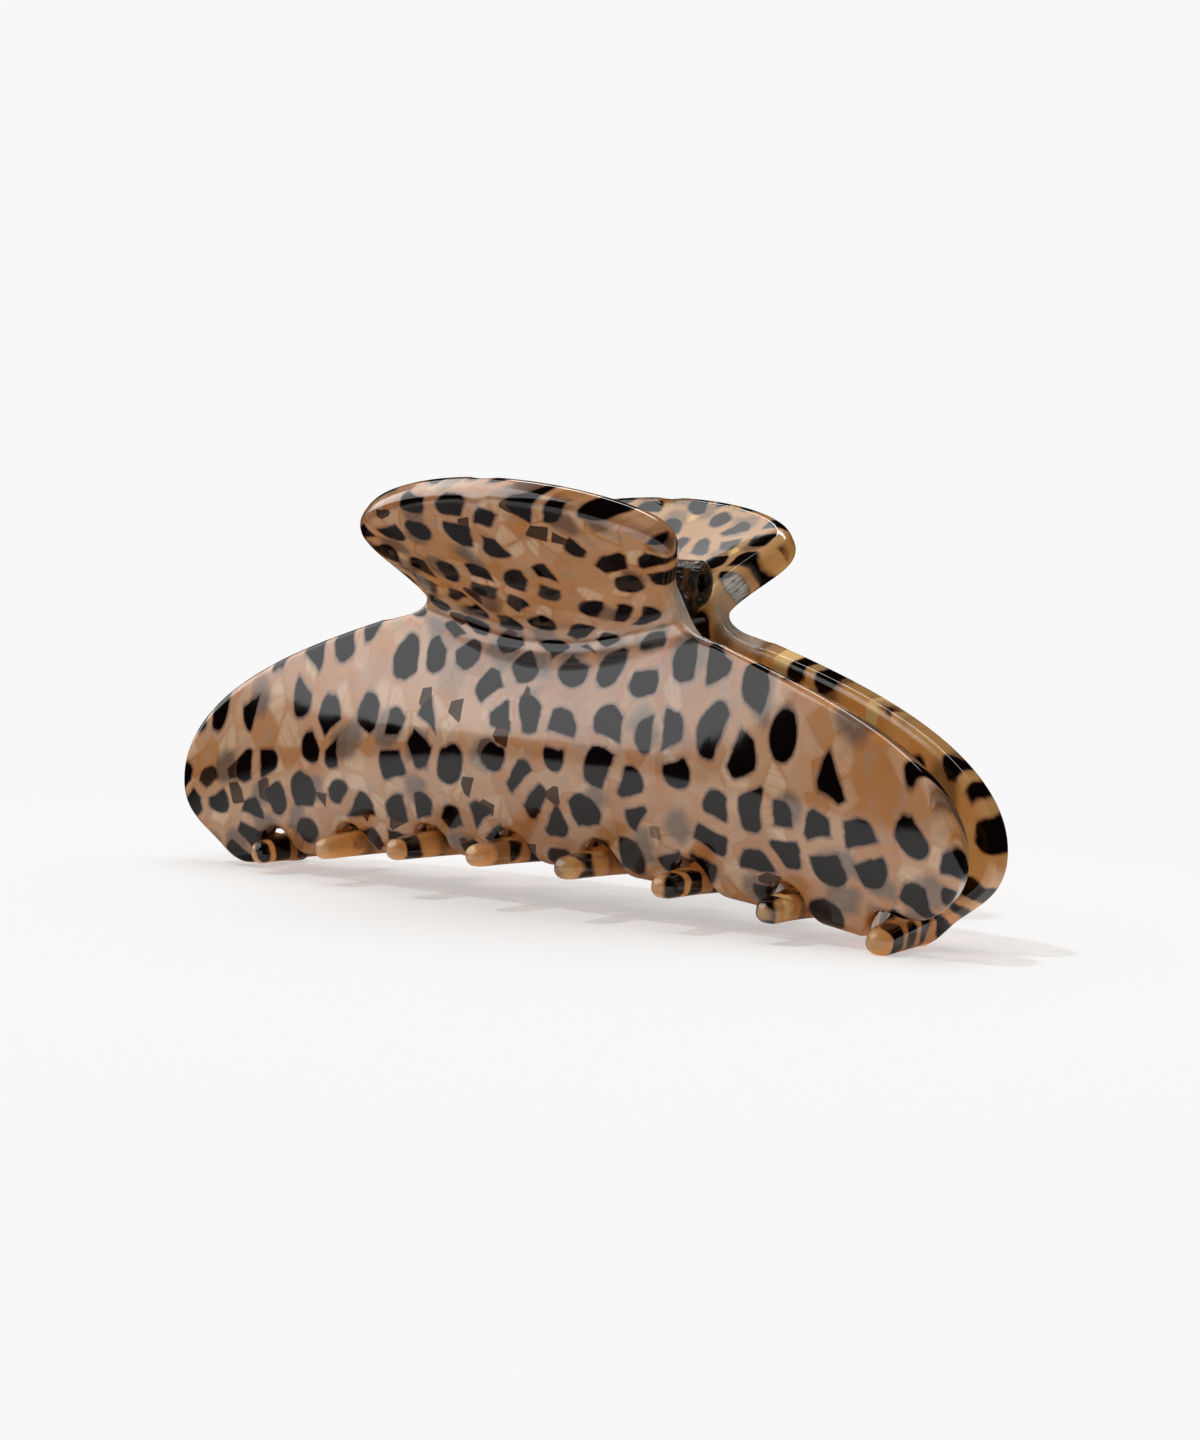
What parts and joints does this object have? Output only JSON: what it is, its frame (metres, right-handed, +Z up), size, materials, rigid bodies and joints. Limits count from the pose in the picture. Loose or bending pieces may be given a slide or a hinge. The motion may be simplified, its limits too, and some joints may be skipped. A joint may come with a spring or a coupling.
{
  "type": "hair claw clip",
  "caption": "Large spring claw clip for hair: two curved sheet jaws with interleaved curled-in teeth and flared finger wings, hinged on a pin through bonded lugs.",
  "frame": {"origin": "on the table plane under the middle of the clip, midway between the two jaws, where the end teeth's undersides touch the table", "axes": "+X along the jaws' length and the hinge pin, +Y from the front jaw's side to the rear jaw's side, +Z up from the teeth towards the finger wings"},
  "size_m": [0.108, 0.0454, 0.0493],
  "materials": {
    "acetate": "tumble-polished tortoiseshell cellulose acetate",
    "lug_acetate": "dark acetate, sawn sides",
    "steel": "plated spring wire and pin"
  },
  "bodies": {
    "rear": {"rear_jaw": "acetate", "rear_outer_lug": "lug_acetate", "rear_inner_lug": "lug_acetate", "hinge_pin": "steel", "torsion_spring": "steel"},
    "front": {"front_jaw": "acetate", "front_outer_lug": "lug_acetate", "front_inner_lug": "lug_acetate"}
  },
  "joints": [
    {"name": "jaw_hinge", "type": "hinge", "parent": "rear", "child": "front", "pos_m": [0, 0, 0.03908], "axis": [-1, 0, 0], "range_deg": [0, 70], "stiffness_Nm_per_rad": 0.073, "springref_deg": -90, "deforming": ["torsion_spring"]}
  ]
}
